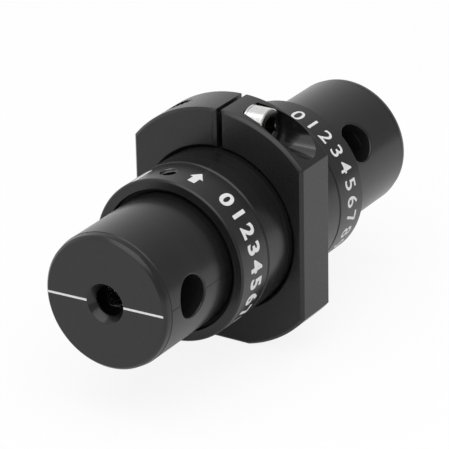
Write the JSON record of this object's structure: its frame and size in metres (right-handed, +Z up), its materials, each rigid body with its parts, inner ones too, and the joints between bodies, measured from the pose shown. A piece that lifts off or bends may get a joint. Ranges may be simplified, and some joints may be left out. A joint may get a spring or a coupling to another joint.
{
  "type": "optical isolator",
  "caption": "Free-space Faraday optical isolator: a magnet tube with a turning polarizer barrel at each end, held in a split ring that screws onto a post.",
  "frame": {"origin": "mouth of the post hole, in the middle of the clamp ring's bottom flat", "axes": "+Y along the optical axis from the input end to the output end, +Z up from the bottom flat to the optical axis, +X to the side where the clamp screw's head is"},
  "size_m": [0.035, 0.0834, 0.0445],
  "materials": {
    "black_anodised": "satin black anodised",
    "stainless": "bright stainless steel",
    "black_oxide_steel": "black oxide",
    "nickel_plated_magnet": "nickel plated",
    "sleeve_brass": "turned",
    "crystal_glass": "polished crystal, pale yellow",
    "prism_glass": "polished glass"
  },
  "bodies": {
    "clamp": {"clamp_ring": "black_anodised"},
    "clamp_screw": {"clamp_screw": "stainless"},
    "isolator": {"magnet_tube": "black_anodised", "input_collar": "black_anodised", "output_collar": "black_anodised", "input_magnet": "nickel_plated_magnet", "centre_magnet": "nickel_plated_magnet", "output_magnet": "nickel_plated_magnet", "magnet_shims": "stainless", "crystal_sleeve": "sleeve_brass", "rotator_crystal": "crystal_glass", "crystal_spacers": "black_anodised"},
    "input_polarizer": {"input_barrel": "black_anodised", "input_end_cap": "black_anodised", "input_cube_holder": "black_anodised", "input_cube_inner_prism": "prism_glass", "input_cube_outer_prism": "prism_glass", "input_holder_ring": "black_anodised"},
    "output_polarizer": {"output_barrel": "black_anodised", "output_end_cap": "black_anodised", "output_cube_holder": "black_anodised", "output_cube_inner_prism": "prism_glass", "output_cube_outer_prism": "prism_glass", "output_holder_ring": "black_anodised"},
    "input_set_screw": {"input_set_screw": "black_oxide_steel"},
    "output_set_screw": {"output_set_screw": "black_oxide_steel"}
  },
  "joints": [
    {"name": "isolator_turn", "type": "hinge", "parent": "clamp", "child": "isolator", "pos_m": [0, 0, 0.0219], "axis": [0, 1, 0], "continuous": true},
    {"name": "input_polarizer_turn", "type": "hinge", "parent": "isolator", "child": "input_polarizer", "pos_m": [0, -0.027, 0.0219], "axis": [0, 1, 0], "continuous": true},
    {"name": "output_polarizer_turn", "type": "hinge", "parent": "isolator", "child": "output_polarizer", "pos_m": [0, 0.027, 0.0219], "axis": [0, 1, 0], "continuous": true},
    {"name": "clamp_screw_turn", "type": "hinge", "parent": "clamp", "child": "clamp_screw", "pos_m": [0, 0, 0.0411], "axis": [1, 0, 0], "continuous": true},
    {"name": "input_set_screw_turn", "type": "hinge", "parent": "isolator", "child": "input_set_screw", "pos_m": [0, -0.01735, 0.0219], "axis": [-0.1253, 0, 0.9921], "continuous": true},
    {"name": "output_set_screw_turn", "type": "hinge", "parent": "isolator", "child": "output_set_screw", "pos_m": [0, 0.01735, 0.0219], "axis": [-0.9988, 0, 0.0489], "continuous": true}
  ]
}
